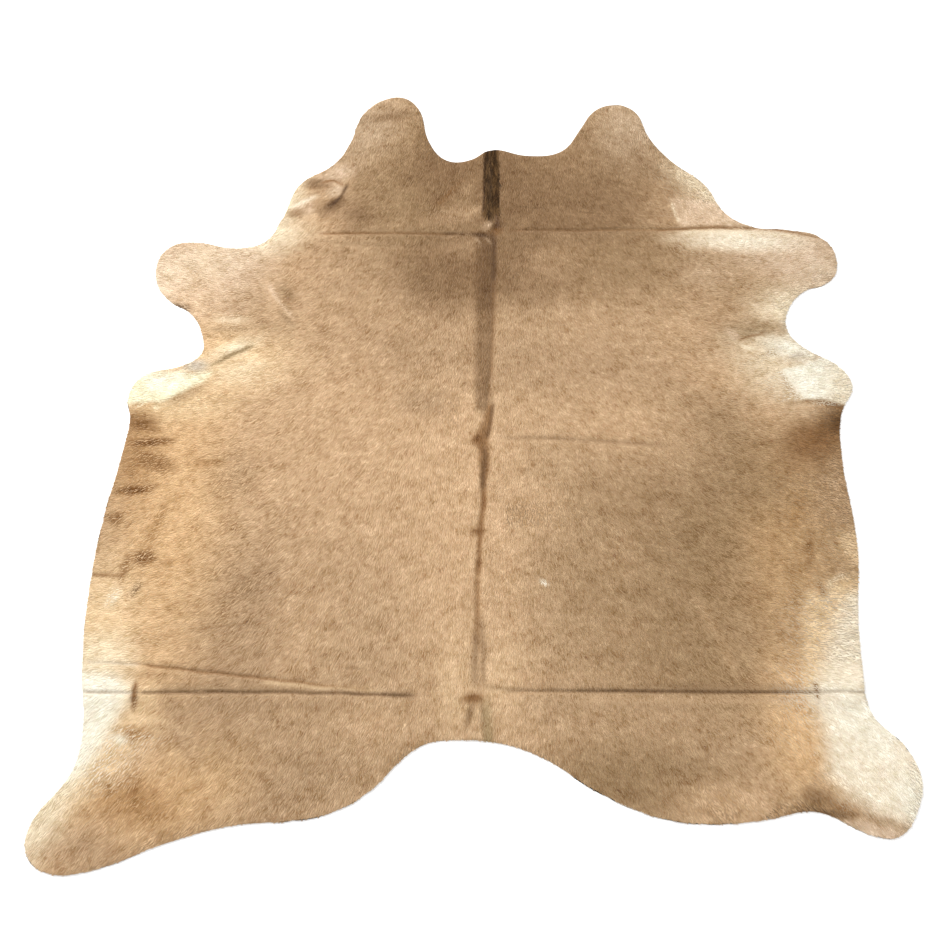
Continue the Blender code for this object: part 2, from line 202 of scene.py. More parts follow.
# Soft clouds of colour, each laid over the ones before it: middle, half sizes along and across its own
# direction, its turn in degrees, how soft its border is (0 to 1), and how much of its colour it takes.
CLOUD_COLUMNS = (
    "place", "colour", "across", "along", "half_length", "half_width", "turn", "softness", "strength",
)
CLOUDS = (
    # Back and sides.
    ("left ribs", "sand", -0.34, -0.08, 0.42, 0.30, 0, 0.8, 0.95),
    ("left shoulder blade", "sand", -0.58, 0.12, 0.20, 0.20, 0, 0.9, 0.9),
    ("left loin", "sand", -0.08, -0.38, 0.10, 0.42, 0, 0.9, 0.9),
    ("right loin", "sand", 0.05, -0.46, 0.08, 0.44, 0, 0.8, 1.0),
    ("upper back", "fawn", 0.02, 0.19, 0.42, 0.08, -3, 0.9, 0.55),
    ("left side", "fawn", -0.56, -0.55, 0.10, 0.20, 0, 0.9, 0.4),
    ("left rump", "fawn", -0.44, -0.90, 0.12, 0.06, 0, 0.9, 0.5),
    ("left hip light", "sand", -0.38, -0.54, 0.06, 0.08, 0, 0.9, 0.5),
    ("right flank tip", "straw", 0.93, -0.35, 0.05, 0.05, 0, 0.9, 0.7),
    ("left flank shade", "fawn", -0.56, -0.45, 0.06, 0.06, 0, 0.9, 0.8),
    ("left loin light", "sand", -0.45, -0.52, 0.05, 0.16, 0, 0.9, 0.6),
    ("left thigh shade", "dun", -0.64, -0.86, 0.07, 0.05, 0, 0.9, 0.7),
    ("left ribs shade", "fawn", -0.65, -0.15, 0.06, 0.06, 0, 0.9, 0.9),
    ("left shoulder light", "sand", -0.35, 0.17, 0.08, 0.06, 0, 0.9, 0.5),
    ("right tail light", "sand", 0.15, -0.86, 0.08, 0.05, -30, 0.9, 0.7),
    ("right back dusk", "dun", 0.46, -0.38, 0.28, 0.30, 0, 0.9, 0.7),
    ("right side dusk", "dun", 0.64, -0.12, 0.14, 0.20, 15, 0.8, 0.6),
    ("right ribs light", "sand", 0.38, -0.02, 0.15, 0.09, 0, 0.9, 0.65),
    ("right ribs second light", "tan", 0.54, -0.08, 0.09, 0.07, 0, 0.9, 0.45),
    ("right armpit approach", "sand", 0.66, 0.13, 0.12, 0.06, -10, 0.9, 0.8),
    ("right elbow approach", "sand", 0.77, 0.03, 0.07, 0.05, 0, 0.9, 0.8),
    ("right loin light", "sand", 0.15, -0.25, 0.06, 0.06, 0, 0.9, 0.7),
    ("right loin second light", "tan", 0.34, -0.36, 0.05, 0.07, 0, 0.9, 0.6),
    ("right loin third light", "tan", 0.35, -0.56, 0.05, 0.05, 0, 0.9, 0.6),
    ("right thigh dusk", "dun", 0.50, -0.62, 0.14, 0.12, 0, 0.9, 0.5),
    ("right rump dusk", "dun", 0.30, -0.92, 0.14, 0.05, -20, 0.9, 0.8),
    ("right belly", "amber", 0.76, -0.36, 0.10, 0.26, 0, 0.7, 0.9),
    ("right rib shade", "dun", 0.56, -0.35, 0.08, 0.09, 0, 0.9, 0.8),
    ("right side shade", "dun", 0.70, -0.18, 0.07, 0.08, 0, 0.9, 0.6),
    ("right thigh shade", "dun", 0.56, -0.67, 0.07, 0.06, 0, 0.9, 0.8),
    ("right stifle", "honey", 0.745, -0.78, 0.08, 0.16, 0, 0.9, 1.0),
    ("right rump shade", "dun", 0.41, -0.89, 0.17, 0.06, -8, 0.9, 0.85),
    ("right hip light", "tan", 0.44, -0.76, 0.08, 0.04, 0, 0.9, 0.7),
    ("right thigh light", "sand", 0.56, -0.95, 0.11, 0.05, 0, 0.9, 0.95),
    # Neck and shoulders.
    ("neck", "dun", 0.08, 0.76, 0.46, 0.33, 0, 0.5, 1.0),
    ("right neck dusk", "dusk", 0.21, 0.70, 0.26, 0.24, 0, 0.8, 0.75),
    ("right neck hollow", "dusk", 0.12, 0.72, 0.06, 0.14, 15, 0.8, 0.7),
    ("right mane dusk", "dusk", 0.36, 0.69, 0.12, 0.07, 0, 0.8, 0.5),
    ("crest dusk", "dusk", -0.10, 0.83, 0.11, 0.09, 0, 0.8, 0.9),
    ("left mane streak", "dusk", -0.09, 0.76, 0.10, 0.025, 65, 0.8, 0.8),
    ("left mane light", "fawn", -0.06, 0.66, 0.08, 0.03, 10, 0.8, 0.8),
    ("left withers dusk", "dusk", -0.09, 0.46, 0.12, 0.12, 0, 0.8, 0.9),
    ("right withers dusk", "dusk", 0.12, 0.46, 0.13, 0.09, 0, 0.8, 0.8),
    ("left withers light", "fawn", -0.05, 0.55, 0.05, 0.04, 0, 0.9, 0.5),
    ("right withers light", "tan", 0.21, 0.50, 0.10, 0.06, 20, 0.9, 0.5),
    ("right shoulder dusk", "dun", 0.45, 0.48, 0.16, 0.10, 0, 0.9, 0.75),
    ("right shoulder low light", "sand", 0.57, 0.25, 0.08, 0.06, 0, 0.9, 0.5),
    ("right foreleg dusk", "dun", 0.75, 0.44, 0.08, 0.06, 0, 0.9, 0.5),
    ("left neck flap", "ash", -0.34, 0.98, 0.12, 0.09, 60, 0.8, 0.7),
    ("left neck flap band", "dusk", -0.28, 1.02, 0.07, 0.02, 10, 0.8, 0.5),
    ("right neck flap", "ash", 0.46, 0.98, 0.13, 0.10, 90, 0.8, 0.75),
    ("right neck side", "cream", 0.650, 0.748, 0.12, 0.05, -50, 0.8, 0.75),
    ("right neck upper shade", "dusk", 0.50, 0.84, 0.10, 0.03, -50, 0.9, 0.35),
    ("crest side dusk", "dusk", 0.06, 0.82, 0.06, 0.10, 0, 0.9, 0.8),
    ("right neck light", "tan", 0.27, 0.87, 0.07, 0.06, 0, 0.9, 0.3),
    ("right neck lower light", "tan", 0.55, 0.68, 0.09, 0.07, 0, 0.9, 0.45),
    ("right shoulder hollow", "dun", 0.60, 0.515, 0.08, 0.03, 0, 0.9, 0.3),
    ("right foreleg", "rose", 0.88, 0.52, 0.16, 0.11, -15, 0.7, 0.95),
    ("right foreleg root", "rose", 0.66, 0.46, 0.08, 0.05, 0, 0.9, 0.4),
    ("right foreleg shade", "tan", 0.76, 0.43, 0.07, 0.045, -10, 0.9, 0.75),
    ("right foreleg tip", "shell", 0.97, 0.46, 0.06, 0.05, 0, 0.9, 0.3),
    ("right shoulder glow", "shell", 0.738, 0.568, 0.160, 0.031, -2, 0.8, 1.0),
    ("right armpit edge", "cream", 0.86, 0.34, 0.10, 0.07, 0, 0.8, 0.85),
    ("right armpit rim", "ivory", 0.870, 0.27, 0.05, 0.04, 90, 0.8, 0.8),
    ("left neck edge", "sand", -0.46, 0.64, 0.10, 0.06, 20, 0.8, 0.85),
    ("left neck rim", "cream", -0.555, 0.70, 0.12, 0.035, 65, 0.8, 0.8),
    ("left neck glow", "sand", -0.45, 0.76, 0.06, 0.04, 0, 0.9, 0.6),
    ("left mane dusk", "dusk", -0.36, 0.66, 0.06, 0.05, 0, 0.9, 0.4),
    ("left shoulder glow", "sand", -0.53, 0.46, 0.08, 0.07, 0, 0.9, 0.7),
    ("left neck side", "cream", -0.64, 0.57, 0.13, 0.06, 15, 0.8, 0.95),
    ("left foreleg", "rose", -0.78, 0.46, 0.18, 0.16, 0, 0.6, 1.0),
    ("left foreleg shade", "bone", -0.78, 0.50, 0.10, 0.06, 0, 0.8, 0.6),
    ("left foreleg light", "shell", -0.88, 0.44, 0.06, 0.06, 0, 0.8, 0.3),
    ("left shoulder front", "tan", -0.62, 0.38, 0.10, 0.06, 20, 0.9, 0.5),
    ("left foreleg root", "fawn", -0.62, 0.275, 0.10, 0.035, 0, 0.8, 0.7),
    ("left armpit", "straw", -0.70, 0.16, 0.17, 0.10, 15, 0.8, 0.95),
    ("left armpit light", "cream", -0.685, 0.208, 0.075, 0.022, 22, 0.8, 0.9),
    ("left elbow front", "cream", -0.69, 0.135, 0.09, 0.035, 15, 0.8, 0.6),
    # Painted shade on the neck side of the right armpit wrinkle.
    ("right armpit fold", "dun", 0.745, 0.268, 0.080, 0.028, 5, 0.8, 1.0),
    ("right armpit", "cream", 0.79, 0.155, 0.12, 0.078, -40, 0.9, 0.68),
    ("right armpit white", "ivory", 0.845, 0.212, 0.075, 0.032, -20, 0.8, 0.95),
    # Elbows and belly.
    ("right elbow shade", "brown", 0.90, -0.045, 0.12, 0.055, 35, 0.8, 0.55),
    ("right elbow dark", "umber", 0.955, 0.004, 0.05, 0.024, 20, 0.8, 0.55),
    ("right elbow dark root", "brown", 0.85, -0.05, 0.05, 0.04, 0, 0.9, 0.4),
    ("left belly", "honey", -0.79, -0.24, 0.12, 0.48, 0, 0.8, 0.95),
    ("left elbow underside", "straw", -0.80, 0.040, 0.13, 0.045, 2, 0.8, 0.9),
    ("left belly edge", "bay", -0.89, -0.10, 0.05, 0.13, 0, 0.8, 0.45),
    ("left flank", "straw", -0.92, -0.54, 0.09, 0.15, 0, 0.7, 0.95),
    ("left flank light", "cream", -0.91, -0.625, 0.08, 0.06, 0, 0.8, 0.7),
    # Legs.
    ("left hind leg", "sand", -0.88, -0.98, 0.24, 0.14, 30, 0.6, 0.95),
    ("left hind leg light", "honey", -0.90, -0.95, 0.06, 0.04, 40, 0.9, 0.7),
    ("left hock light", "honey", -0.68, -0.93, 0.14, 0.09, 20, 0.9, 0.8),
    ("left hock", "bay", -0.79, -0.945, 0.09, 0.04, -15, 0.9, 0.6),
    ("left hind toe", "fawn", -0.87, -1.045, 0.06, 0.035, -15, 0.9, 0.5),
    ("left hind leg edge", "cream", -0.985, -0.97, 0.16, 0.06, 60, 0.8, 0.85),
    ("left hind leg front", "cream", -0.905, -0.85, 0.09, 0.03, 65, 0.8, 0.8),
    ("right hock", "dun", 0.76, -0.965, 0.07, 0.018, -12, 0.8, 0.3),
    ("right hind leg low", "sand", 0.87, -0.960, 0.08, 0.03, -15, 0.9, 0.4),
)

# Patches with a border of their own, which is softness metres wide on each side of it.
AREA_COLUMNS = ("place", "colour", "softness", "strength", "corners")
AREAS = (
    ("spine shade", "dusk", 0.012, 0.80,
     ((0.002, 0.60), (0.044, 0.60), (0.047, 0.54), (0.045, 0.45), (0.042, 0.33), (0.035, 0.20),
      (0.030, 0.07), (0.020, 0.02), (-0.008, 0.03), (-0.012, 0.12), (-0.012, 0.37), (-0.008, 0.50))),
    ("withers shade", "umber", 0.020, 0.34,
     ((-0.004, 0.580), (0.044, 0.590), (0.047, 0.54), (0.045, 0.45), (0.041, 0.34), (-0.004, 0.34),
      (-0.006, 0.50))),
    ("loin shade", "brown", 0.009, 0.62,
     ((0.022, 0.045), (0.010, 0.000), (-0.004, -0.035), (-0.018, -0.056), (-0.008, -0.075),
      (-0.002, -0.100), (0.002, -0.145), (0.004, -0.200), (0.006, -0.245), (0.013, -0.245), (0.017, -0.200),
      (0.023, -0.145), (0.026, -0.095), (0.025, -0.054), (0.033, 0.004), (0.036, 0.045))),
    ("crest hair", "umber", 0.006, 0.85,
     ((0.017, 0.92), (0.056, 0.92), (0.055, 0.74), (0.063, 0.632), (0.053, 0.655), (0.042, 0.652),
      (0.032, 0.634), (0.020, 0.655), (0.006, 0.640), (0.012, 0.74))),
    ("right shoulder wedge", "rose", 0.010, 0.8,
     ((0.553, 0.715), (0.66, 0.71), (0.74, 0.66), (0.80, 0.62), (0.575, 0.618))),
    ("left stifle", "ivory", 0.020, 1.0,
     ((-0.96, -0.65), (-0.86, -0.665), (-0.815, -0.68), (-0.812, -0.73), (-0.845, -0.79), (-0.875, -0.86),
      (-0.94, -0.90), (-0.98, -0.80))),
    ("left stifle fade", "straw", 0.040, 0.85,
     ((-0.82, -0.68), (-0.76, -0.70), (-0.76, -0.78), (-0.82, -0.88), (-0.90, -0.93), (-0.87, -0.84),
      (-0.83, -0.75))),
    ("left elbow", "pearl", 0.008, 1.0,
     ((-0.95, 0.16), (-0.86, 0.15), (-0.775, 0.142), (-0.712, 0.147), (-0.740, 0.113), (-0.790, 0.080),
      (-0.835, 0.055), (-0.850, 0.030), (-0.866, 0.050), (-0.95, 0.044))),
    ("left elbow white", "ivory", 0.030, 0.8,
     ((-0.90, 0.15), (-0.80, 0.145), (-0.78, 0.11), (-0.87, 0.09))),
    ("right elbow", "ivory", 0.004, 1.0,
     ((0.814, 0.154), (0.826, 0.120), (0.846, 0.082), (0.858, 0.066), (0.886, 0.061), (0.925, 0.055),
      (0.98, 0.041), (1.00, 0.10), (0.97, 0.19), (0.91, 0.185), (0.862, 0.168))),
    ("right elbow tip", "straw", 0.030, 0.30, ((0.94, 0.16), (0.99, 0.15), (1.00, 0.05), (0.92, 0.05))),
    ("right flank", "straw", 0.016, 0.9,
     ((0.785, -0.47), (0.800, -0.455), (0.835, -0.475), (0.850, -0.44), (0.875, -0.42), (0.93, -0.42),
      (0.98, -0.71), (0.757, -0.72), (0.765, -0.60))),
    ("right flank light", "shell", 0.028, 0.9,
     ((0.87, -0.50), (0.90, -0.46), (0.98, -0.46), (0.98, -0.72), (0.77, -0.72), (0.80, -0.66),
      (0.83, -0.58))),
    ("right hind leg", "shell", 0.034, 1.0,
     ((0.772, -0.712), (0.98, -0.712), (1.03, -0.85), (1.03, -1.02), (0.97, -1.005), (0.90, -0.985),
      (0.84, -0.955), (0.785, -0.89), (0.785, -0.78))),
    ("right hind leg white", "ivory", 0.040, 0.7,
     ((0.80, -0.69), (0.93, -0.69), (0.97, -0.80), (0.92, -0.86), (0.84, -0.80))),
    ("right hind leg tip", "rose", 0.012, 1.0,
     ((0.80, -0.985), (0.86, -0.992), (0.92, -1.002), (0.94, -1.012), (0.94, -1.05), (0.85, -1.05))),
)

# Smudges, in the columns of the clouds; some of them are painted shade by creases and wrinkles.
SMUDGES = (
    ("left belly smudge", "brown", -0.884, -0.006, 0.042, 0.020, -10, 0.8, 0.70),
    ("left belly second smudge", "brown", -0.850, -0.062, 0.048, 0.012, 4, 0.7, 1.0),
    ("left belly third smudge", "brown", -0.828, -0.120, 0.040, 0.020, -20, 0.9, 0.7),
    ("left belly fourth smudge", "brown", -0.872, -0.194, 0.042, 0.012, 6, 0.7, 1.0),
    ("left belly fifth smudge", "brown", -0.915, -0.272, 0.018, 0.016, 0, 0.8, 0.75),
    ("left belly sixth smudge", "brown", -0.830, -0.374, 0.028, 0.019, 0, 0.8, 0.95),
    ("left belly seventh smudge", "brown", -0.874, -0.400, 0.034, 0.010, 80, 0.8, 0.75),
    ("left belly eighth smudge", "bay", -0.808, -0.285, 0.060, 0.012, 75, 0.9, 0.5),
    ("left belly ninth smudge", "bay", -0.700, -0.120, 0.030, 0.012, 0, 0.9, 0.4),
    ("left belly tenth smudge", "bay", -0.76, -0.385, 0.040, 0.008, 10, 0.9, 0.4),
    ("left stifle smudge", "bay", -0.803, -0.800, 0.034, 0.016, 0, 0.9, 0.75),
    ("left stifle light", "ivory", -0.828, -0.812, 0.018, 0.010, -20, 0.8, 0.9),
    ("left hip knot", "umber", -0.806, -0.716, 0.012, 0.008, 85, 0.8, 0.7),
    ("left thigh crescent", "fawn", -0.690, -0.79, 0.090, 0.020, -62, 0.9, 0.5),
    ("right belly streak", "brown", 0.818, -0.352, 0.045, 0.010, 80, 0.8, 0.55),
    ("right belly second streak", "bay", 0.795, -0.26, 0.05, 0.012, 70, 0.9, 0.4),
    ("right thigh streak", "sand", 0.552, -0.535, 0.055, 0.010, -65, 0.9, 0.55),
    ("right thigh second streak", "sand", 0.588, -0.625, 0.035, 0.012, -65, 0.9, 0.55),
    ("right hock hollow", "dusk", 0.755, -0.935, 0.030, 0.024, 0, 0.9, 0.6),
    ("right hock edge", "umber", 0.760, -0.974, 0.060, 0.008, -3, 0.8, 0.55),
    ("right hind leg edge", "brown", 0.812, -0.962, 0.040, 0.012, -12, 0.8, 0.40),
    ("right hind leg low edge", "dun", 0.900, -0.990, 0.050, 0.007, -14, 0.8, 0.5),
    ("right hind toe light", "ivory", 0.970, -0.940, 0.045, 0.036, -60, 0.9, 0.85),
    ("left neck back light", "rose", -0.415, 0.808, 0.052, 0.028, 25, 0.8, 0.9),
    ("left neck fold light", "rose", -0.417, 0.746, 0.026, 0.020, 40, 0.8, 0.8),
    ("left neck low light", "rose", -0.500, 0.684, 0.022, 0.022, 0, 0.8, 0.8),
    ("left neck shade", "dusk", -0.471, 0.770, 0.034, 0.017, -2, 0.7, 0.80),
    ("left neck wedge", "dusk", -0.428, 0.688, 0.042, 0.022, 38, 0.6, 0.9),
    ("left neck wedge dark", "umber", -0.418, 0.702, 0.026, 0.010, 48, 0.8, 0.4),
    ("left neck edge spot", "fawn", -0.526, 0.664, 0.026, 0.015, 10, 0.7, 0.85),
    ("left neck back spot", "dusk", -0.345, 0.655, 0.034, 0.022, -10, 0.9, 0.7),
    # Painted shade beside the left shoulder wrinkle.
    ("left wrinkle hollow", "dun", -0.537, 0.398, 0.028, 0.014, -45, 0.9, 0.6),
    ("left armpit grey", "grey", -0.760, 0.164, 0.034, 0.018, -5, 0.6, 0.95),
    ("right armpit curl", "rose", 0.690, 0.262, 0.020, 0.014, -60, 0.9, 0.8),
    ("right armpit hollow", "grey", 0.855, 0.195, 0.020, 0.008, 10, 0.8, 0.9),
    ("withers light", "rose", 0.024, 0.620, 0.018, 0.010, 40, 0.8, 0.7),
    ("withers side shade", "dusk", 0.072, 0.655, 0.030, 0.030, 0, 0.9, 0.9),
    ("crest streak", "brown", -0.088, 0.735, 0.050, 0.008, 52, 0.9, 0.55),
    ("crest streak light", "tan", -0.035, 0.745, 0.030, 0.012, 70, 0.9, 0.35),
    ("crest low light", "tan", -0.030, 0.668, 0.035, 0.012, 20, 0.9, 0.5),
    ("withers hollow", "umber", 0.052, 0.622, 0.018, 0.013, 70, 0.8, 0.85),
    ("withers knot", "brown", 0.050, 0.601, 0.015, 0.012, 0, 0.8, 0.6),
    ("withers left hollow", "dusk", 0.006, 0.634, 0.018, 0.020, 20, 0.9, 0.8),
    ("crest right rim", "dusk", 0.067, 0.655, 0.045, 0.010, 88, 0.8, 0.6),
    # Painted shade where the left shoulder crease meets the spine.
    ("withers crease end", "umber", 0.002, 0.588, 0.022, 0.007, -8, 0.8, 0.75),
    ("whorl", "brown", -0.008, -0.058, 0.014, 0.012, 0, 0.8, 0.6),
    ("loin whorl", "brown", -0.006, -0.307, 0.018, 0.008, 0, 0.8, 0.8),
    ("loin light", "sand", 0.038, -0.21, 0.012, 0.09, 0, 0.9, 0.6),
    ("left tail light", "straw", -0.050, -0.70, 0.045, 0.12, 0, 0.9, 0.3),
    ("loin fleck", "ivory", 0.157, -0.439, 0.011, 0.005, -15, 0.6, 1.0),
    ("tail side light", "straw", 0.050, -0.67, 0.030, 0.09, 0, 0.9, 0.3),
    ("left rump light", "sand", -0.25, -0.77, 0.07, 0.06, 0, 0.9, 0.6),
    ("loin side light", "sand", 0.055, -0.34, 0.03, 0.10, 0, 0.9, 1.0),
    ("left back smudge", "fawn", -0.15, 0.055, 0.06, 0.035, 0, 0.9, 0.7),
    ("tail head", "brown", -0.018, -0.718, 0.022, 0.010, 0, 0.8, 0.95),
    ("tail head left", "dusk", -0.027, -0.755, 0.028, 0.008, 75, 0.9, 0.7),
)

# Lines in the coat: painted shade along the creases and folds, where the hair also parts and presses flat,
# painted light beside some of them, and stripes.
MARK_COLUMNS = ("place", "colour", "half_width", "strength", "line")
MARKS = (
    ("crest left edge", "umber", 0.004, 0.6, ((0.017, 0.89), (0.018, 0.80), (0.015, 0.70), (0.008, 0.66))),
    ("crest right edge", "umber", 0.0045, 0.7,
     ((0.051, 0.76), (0.050, 0.71), (0.050, 0.67), (0.054, 0.62))),
    # The dark dorsal stripe's right edge, which is also painted shade in the bottom of the spine's trough.
    ("spine edge", "umber", 0.0060, 0.60, ((0.044, 0.60), (0.043, 0.54), (0.041, 0.48), (0.039, 0.42))),
    ("spine lower edge", "brown", 0.005, 0.30,
     ((0.039, 0.44), (0.037, 0.34), (0.033, 0.22), (0.029, 0.12))),
    ("whorl line", "umber", 0.005, 0.50,
     ((0.036, 0.060), (0.031, 0.020), (0.024, -0.025), (0.018, -0.065))),
    ("loin line", "umber", 0.007, 0.50,
     ((0.016, -0.060), (0.014, -0.100), (0.011, -0.150), (0.009, -0.210))),
    ("loin lower line", "brown", 0.006, 0.75,
     ((0.010, -0.190), (0.008, -0.240), (0.002, -0.310), (-0.002, -0.345), (-0.004, -0.385),
      (-0.005, -0.430))),
    ("rump line", "brown", 0.0065, 0.5,
     ((-0.003, -0.360), (-0.006, -0.450), (-0.007, -0.530), (-0.006, -0.610))),
    ("tail left line", "dusk", 0.008, 0.55, ((-0.006, -0.540), (-0.013, -0.610), (-0.015, -0.710))),
    ("tail right line", "dusk", 0.007, 0.55, ((0.000, -0.510), (0.006, -0.590), (0.007, -0.710))),
    ("tail edge line", "olive", 0.010, 0.9,
     ((0.011, -0.700), (0.014, -0.760), (0.018, -0.830), (0.022, -0.920))),
    # Painted shade along the start of the right hip crease, across the tail.
    ("tail cross line", "dun", 0.005, 0.5, ((0.000, -0.697), (0.040, -0.694), (0.110, -0.702))),
    ("withers first curl", "rose", 0.003, 0.45, ((-0.026, 0.579), (-0.005, 0.570), (0.010, 0.550))),
    ("withers second curl", "rose", 0.003, 0.45, ((0.000, 0.584), (0.022, 0.574), (0.040, 0.552))),
    # Painted shade along the left shoulder crease and its end, with a wider band of painted shade round it.
    ("left shoulder crease", "brown", 0.0035, 0.65,
     ((-0.464, 0.592), (-0.340, 0.594), (-0.225, 0.595), (-0.020, 0.589))),
    ("left shoulder crease end", "umber", 0.004, 0.75,
     ((-0.110, 0.594), (-0.050, 0.591), (0.000, 0.587), (0.030, 0.583))),
    ("left shoulder crease fringe", "dun", 0.009, 0.4, ((-0.33, 0.600), (-0.20, 0.602), (-0.03, 0.597))),
    ("left shoulder second crease", "dun", 0.004, 0.45,
     ((-0.445, 0.564), (-0.340, 0.556), (-0.225, 0.547))),
    # Painted shade along the right shoulder crease, with painted light just below it.
    ("right shoulder crease", "brown", 0.0035, 0.35,
     ((0.075, 0.603), (0.30, 0.604), (0.46, 0.603), (0.55, 0.606))),
    ("right shoulder edge", "brown", 0.0035, 0.55,
     ((0.50, 0.603), (0.603, 0.611), (0.738, 0.613), (0.840, 0.607), (0.934, 0.588), (0.976, 0.574))),
    ("right shoulder edge light", "cream", 0.006, 0.55,
     ((0.56, 0.596), (0.70, 0.597), (0.84, 0.590), (0.93, 0.572))),
    # Painted shade along the right waist crease.
    ("right waist crease", "dusk", 0.005, 0.40,
     ((0.055, -0.048), (0.180, -0.052), (0.285, -0.060), (0.500, -0.072))),
    # Painted shade along the hip creases, with wider bands of painted shade round them, and painted light on
    # the ridge between them and beside them.
    ("left hip crease", "umber", 0.0038, 0.60,
     ((-0.80, -0.706), (-0.60, -0.704), (-0.40, -0.705), (-0.15, -0.712))),
    ("left hip crease fringe", "dun", 0.010, 0.45, ((-0.76, -0.697), (-0.56, -0.694), (-0.36, -0.697))),
    ("left hip crease on the pale", "grey", 0.004, 0.8,
     ((-0.935, -0.704), (-0.86, -0.705), (-0.80, -0.706))),
    ("left hip second crease", "brown", 0.0035, 0.55,
     ((-0.80, -0.640), (-0.70, -0.652), (-0.54, -0.668), (-0.36, -0.690), (-0.25, -0.700))),
    ("left hip second crease on the pale", "grey", 0.0035, 0.5,
     ((-0.938, -0.633), (-0.86, -0.638), (-0.80, -0.643))),
    ("left hip ridge", "straw", 0.0045, 0.45, ((-0.52, -0.680), (-0.38, -0.693), (-0.22, -0.702))),
    ("right hip crease", "umber", 0.0035, 0.60,
     ((0.22, -0.703), (0.40, -0.703), (0.60, -0.704), (0.800, -0.704))),
    ("right hip crease fringe", "dusk", 0.010, 0.35,
     ((0.34, -0.694), (0.50, -0.693), (0.66, -0.694), (0.78, -0.697))),
    ("right hip crease start", "dusk", 0.004, 0.40, ((0.05, -0.700), (0.15, -0.702), (0.28, -0.703))),
    ("right hip light", "sand", 0.008, 0.55,
     ((0.20, -0.722), (0.40, -0.722), (0.60, -0.722), (0.78, -0.720))),
    ("right hip crease on the pale", "grey", 0.0035, 0.75,
     ((0.785, -0.705), (0.84, -0.705), (0.91, -0.704))),
    ("right hip tick", "brown", 0.005, 1.0, ((0.783, -0.672), (0.785, -0.700), (0.786, -0.728))),
    ("left hip tick", "brown", 0.0045, 1.0, ((-0.808, -0.670), (-0.806, -0.715), (-0.802, -0.760))),
    # Painted shade along the two puckers in the left side of the neck.
    ("left neck pucker", "brown", 0.0035, 0.85,
     ((-0.462, 0.772), (-0.435, 0.781), (-0.410, 0.774), (-0.388, 0.762))),
    ("left neck second pucker", "umber", 0.0045, 0.8,
     ((-0.378, 0.778), (-0.390, 0.750), (-0.404, 0.720), (-0.420, 0.695), (-0.440, 0.680))),
    ("left neck slant", "dun", 0.005, 0.6, ((-0.438, 0.704), (-0.466, 0.680), (-0.496, 0.648))),
    ("left neck glint", "shell", 0.007, 0.8,
     ((-0.560, 0.682), (-0.540, 0.689), (-0.497, 0.710), (-0.455, 0.732))),
    # Painted light and painted shade on the two sides of the left shoulder wrinkle.
    ("left shoulder wrinkle light", "rose", 0.0045, 0.65,
     ((-0.589, 0.432), (-0.566, 0.382), (-0.506, 0.309))),
    ("left shoulder wrinkle", "dun", 0.007, 0.7, ((-0.566, 0.352), (-0.530, 0.310), (-0.495, 0.271))),
    # A painted shadow along the left armpit's fold.
    ("left armpit line", "olive", 0.0055, 0.95,
     ((-0.735, 0.152), (-0.717, 0.165), (-0.673, 0.193), (-0.621, 0.221), (-0.600, 0.232))),
    ("left elbow side", "dun", 0.011, 0.6,
     ((-0.845, 0.045), (-0.790, 0.070), (-0.745, 0.098), (-0.715, 0.135))),
    ("left elbow underline", "bay", 0.006, 0.6, ((-0.930, 0.044), (-0.880, 0.050), (-0.820, 0.047))),
    ("left foreleg notch", "umber", 0.006, 0.85,
     ((-0.850, 0.362), (-0.830, 0.354), (-0.810, 0.350), (-0.790, 0.328))),
    ("left foreleg band", "dun", 0.006, 0.5, ((-0.755, 0.277), (-0.700, 0.278), (-0.612, 0.274))),
    ("left foreleg light band", "cream", 0.008, 0.5, ((-0.75, 0.306), (-0.70, 0.307), (-0.62, 0.306))),
    ("left belly line", "brown", 0.004, 0.6, ((-0.975, -0.420), (-0.925, -0.420), (-0.870, -0.427))),
    ("left belly slant", "umber", 0.007, 0.75, ((-0.856, -0.490), (-0.843, -0.462), (-0.822, -0.425))),
    ("left flank glint", "ivory", 0.011, 0.95, ((-0.908, -0.525), (-0.892, -0.480), (-0.878, -0.430))),
    ("left flank rim", "straw", 0.008, 0.7, ((-0.965, -0.36), (-0.972, -0.44), (-0.975, -0.52))),
    # A painted highlight on the crest of the right armpit wrinkle, and painted shade in a crease beside it.
    ("right armpit curl line", "cream", 0.0045, 0.85,
     ((0.703, 0.240), (0.712, 0.225), (0.733, 0.216), (0.752, 0.218))),
    ("right armpit first crease", "olive", 0.0035, 0.7, ((0.775, 0.218), (0.783, 0.200), (0.815, 0.196))),
    ("right armpit shadow", "brown", 0.0035, 0.55,
     ((0.700, 0.236), (0.712, 0.248), (0.74, 0.256), (0.78, 0.262))),
    ("right shoulder wedge edge", "cream", 0.0045, 0.75, ((0.551, 0.712), (0.560, 0.690), (0.572, 0.625))),
    ("right shoulder wedge shade", "dun", 0.006, 0.5, ((0.572, 0.705), (0.578, 0.670), (0.588, 0.630))),
    ("right elbow underline", "brown", 0.0080, 0.85,
     ((0.846, 0.066), (0.872, 0.058), (0.905, 0.054), (0.935, 0.047), (0.975, 0.039))),
    ("right elbow underlight", "sand", 0.007, 0.7, ((0.825, 0.041), (0.870, 0.037), (0.915, 0.031))),
    ("right elbow rim", "ivory", 0.005, 0.9,
     ((0.812, 0.165), (0.822, 0.135), (0.838, 0.100), (0.856, 0.070))),
    ("right elbow front", "dun", 0.006, 0.45,
     ((0.800, 0.160), (0.811, 0.130), (0.828, 0.092), (0.846, 0.060))),
    ("right flank notch", "brown", 0.005, 0.85, ((0.822, -0.432), (0.832, -0.455), (0.836, -0.482))),
    ("right flank glint", "cream", 0.006, 0.7,
     ((0.842, -0.462), (0.858, -0.437), (0.885, -0.422), (0.91, -0.425))),
)
